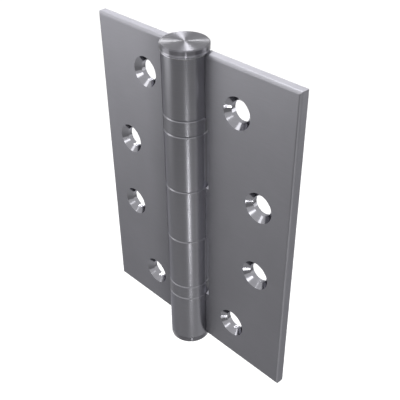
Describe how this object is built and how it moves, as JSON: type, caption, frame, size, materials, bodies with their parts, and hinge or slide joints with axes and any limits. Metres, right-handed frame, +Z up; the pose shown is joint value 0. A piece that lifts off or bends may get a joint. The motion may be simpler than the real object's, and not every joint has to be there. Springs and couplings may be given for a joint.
{
  "type": "ball bearing hinge",
  "caption": "Steel butt hinge with rolled knuckles, countersunk leaves, a capped pin and banded thrust ball bearings between knuckles; hangs a door that swings about the pin.",
  "frame": {"origin": "on the pin axis, half way up the barrel", "axes": "+Z up along the pin, +X across the frame leaf, +Y towards the backs of the leaves, which lie open flat"},
  "size_m": [0.076, 0.0136, 0.106],
  "materials": {
    "leaf_steel": "satin",
    "cap_steel": "turned",
    "shroud_steel": "satin",
    "pin_steel": "ground",
    "race_steel": "ground",
    "ball_steel": "polished",
    "cage_nylon": "moulded"
  },
  "bodies": {
    "frame_side": {"frame_leaf": "leaf_steel", "hinge_pin": "pin_steel", "top_cap": "cap_steel", "bottom_cap": "cap_steel", "upper_top_race": "race_steel", "lower_bottom_race": "race_steel", "lower_shroud": "shroud_steel"},
    "door_side": {"door_leaf": "leaf_steel", "upper_bottom_race": "race_steel", "upper_shroud": "shroud_steel", "lower_top_race": "race_steel"},
    "upper_ball_set": {"upper_cage": "cage_nylon", "upper_ball_1": "ball_steel", "upper_ball_2": "ball_steel", "upper_ball_3": "ball_steel", "upper_ball_4": "ball_steel", "upper_ball_5": "ball_steel", "upper_ball_6": "ball_steel", "upper_ball_7": "ball_steel", "upper_ball_8": "ball_steel"},
    "lower_ball_set": {"lower_cage": "cage_nylon", "lower_ball_1": "ball_steel", "lower_ball_2": "ball_steel", "lower_ball_3": "ball_steel", "lower_ball_4": "ball_steel", "lower_ball_5": "ball_steel", "lower_ball_6": "ball_steel", "lower_ball_7": "ball_steel", "lower_ball_8": "ball_steel"}
  },
  "joints": [
    {"name": "leaf_swing", "type": "hinge", "parent": "frame_side", "child": "door_side", "pos_m": [0, 0, 0], "axis": [0, 0, 1], "range_deg": [-120, 180]},
    {"name": "upper_ball_orbit", "type": "hinge", "parent": "frame_side", "child": "upper_ball_set", "pos_m": [0, 0, 0], "axis": [0, 0, 1], "range_deg": [-60, 90]},
    {"name": "lower_ball_orbit", "type": "hinge", "parent": "frame_side", "child": "lower_ball_set", "pos_m": [0, 0, 0], "axis": [0, 0, 1], "range_deg": [-60, 90]}
  ],
  "couplings": [
    {"joint": "upper_ball_orbit", "follows": "leaf_swing", "ratio": 0.5},
    {"joint": "lower_ball_orbit", "follows": "leaf_swing", "ratio": 0.5}
  ]
}
